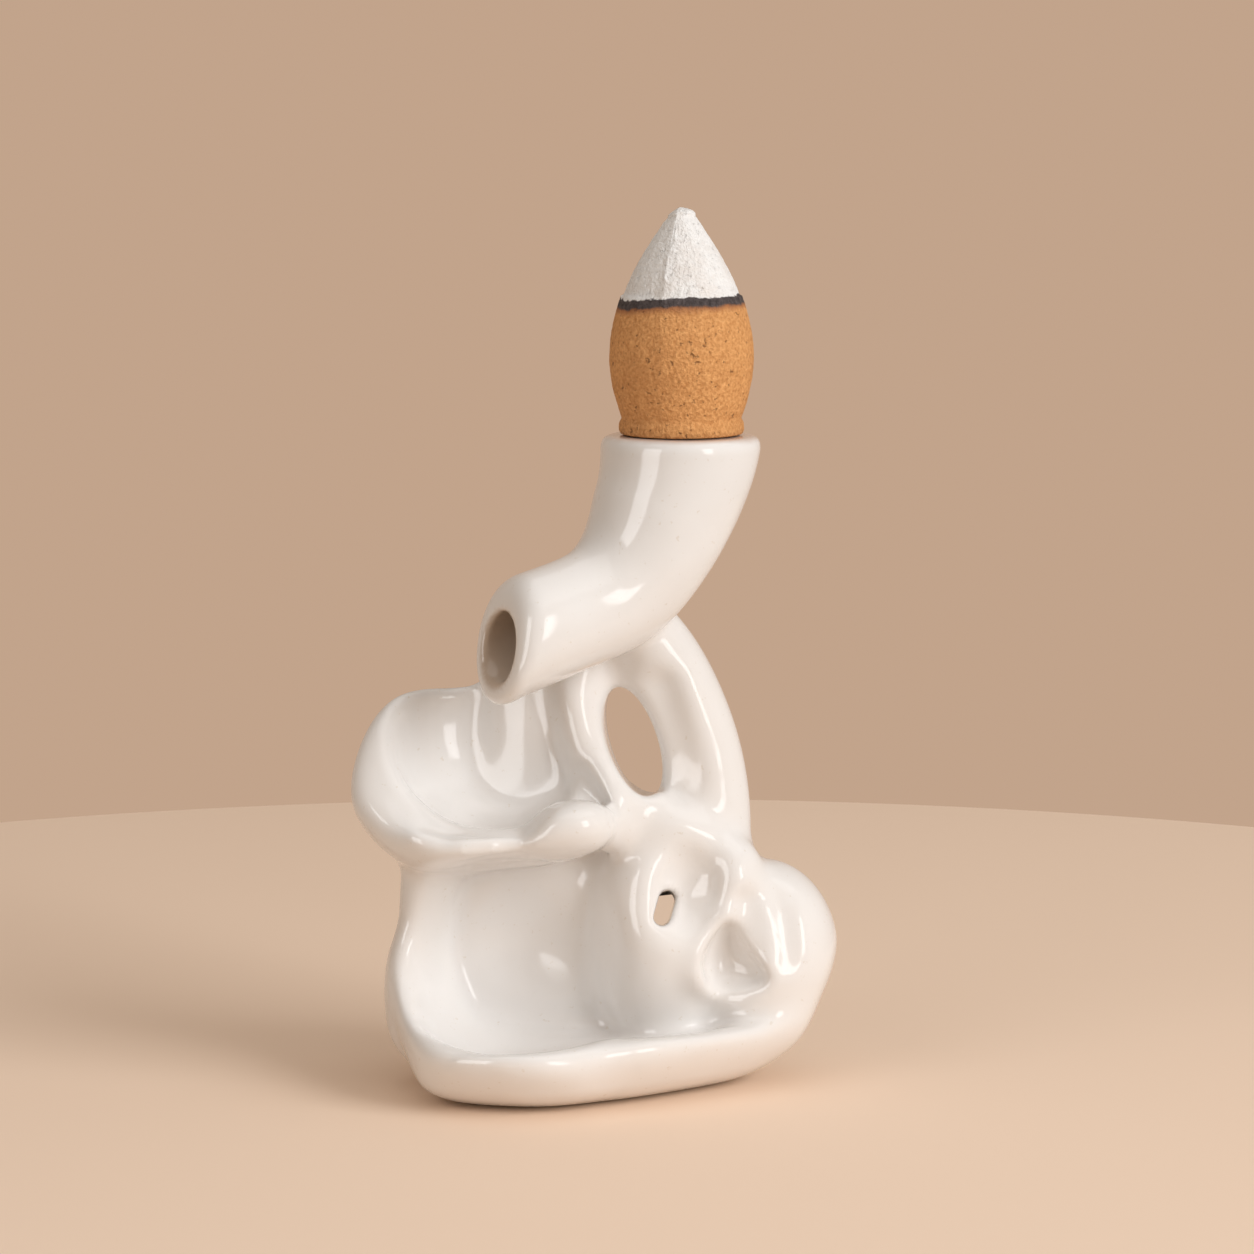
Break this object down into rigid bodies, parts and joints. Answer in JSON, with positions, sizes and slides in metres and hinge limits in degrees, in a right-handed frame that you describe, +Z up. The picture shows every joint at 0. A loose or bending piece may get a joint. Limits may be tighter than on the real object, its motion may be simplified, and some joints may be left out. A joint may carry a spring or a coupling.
{
  "type": "backflow incense burner",
  "caption": "Glazed ceramic tabletop incense burner: a bent smoke pipe over stacked pouring basins on a pierced trunk, with a half-burnt cone standing on the pipe.",
  "frame": {"origin": "on the table plane, in the burner's flat foot, near its middle", "axes": "+X to the right as seen from the front, +Y away from the front, +Z up"},
  "size_m": [0.0538, 0.0368, 0.0977],
  "materials": {
    "burner": "glossy warm white glaze, bare at the foot",
    "incense_cone": "matt pressed powder, grey-white ash over a thin charred ring at the top"
  },
  "bodies": {
    "root": {"burner": "burner", "incense_cone": "incense_cone"}
  },
  "joints": []
}
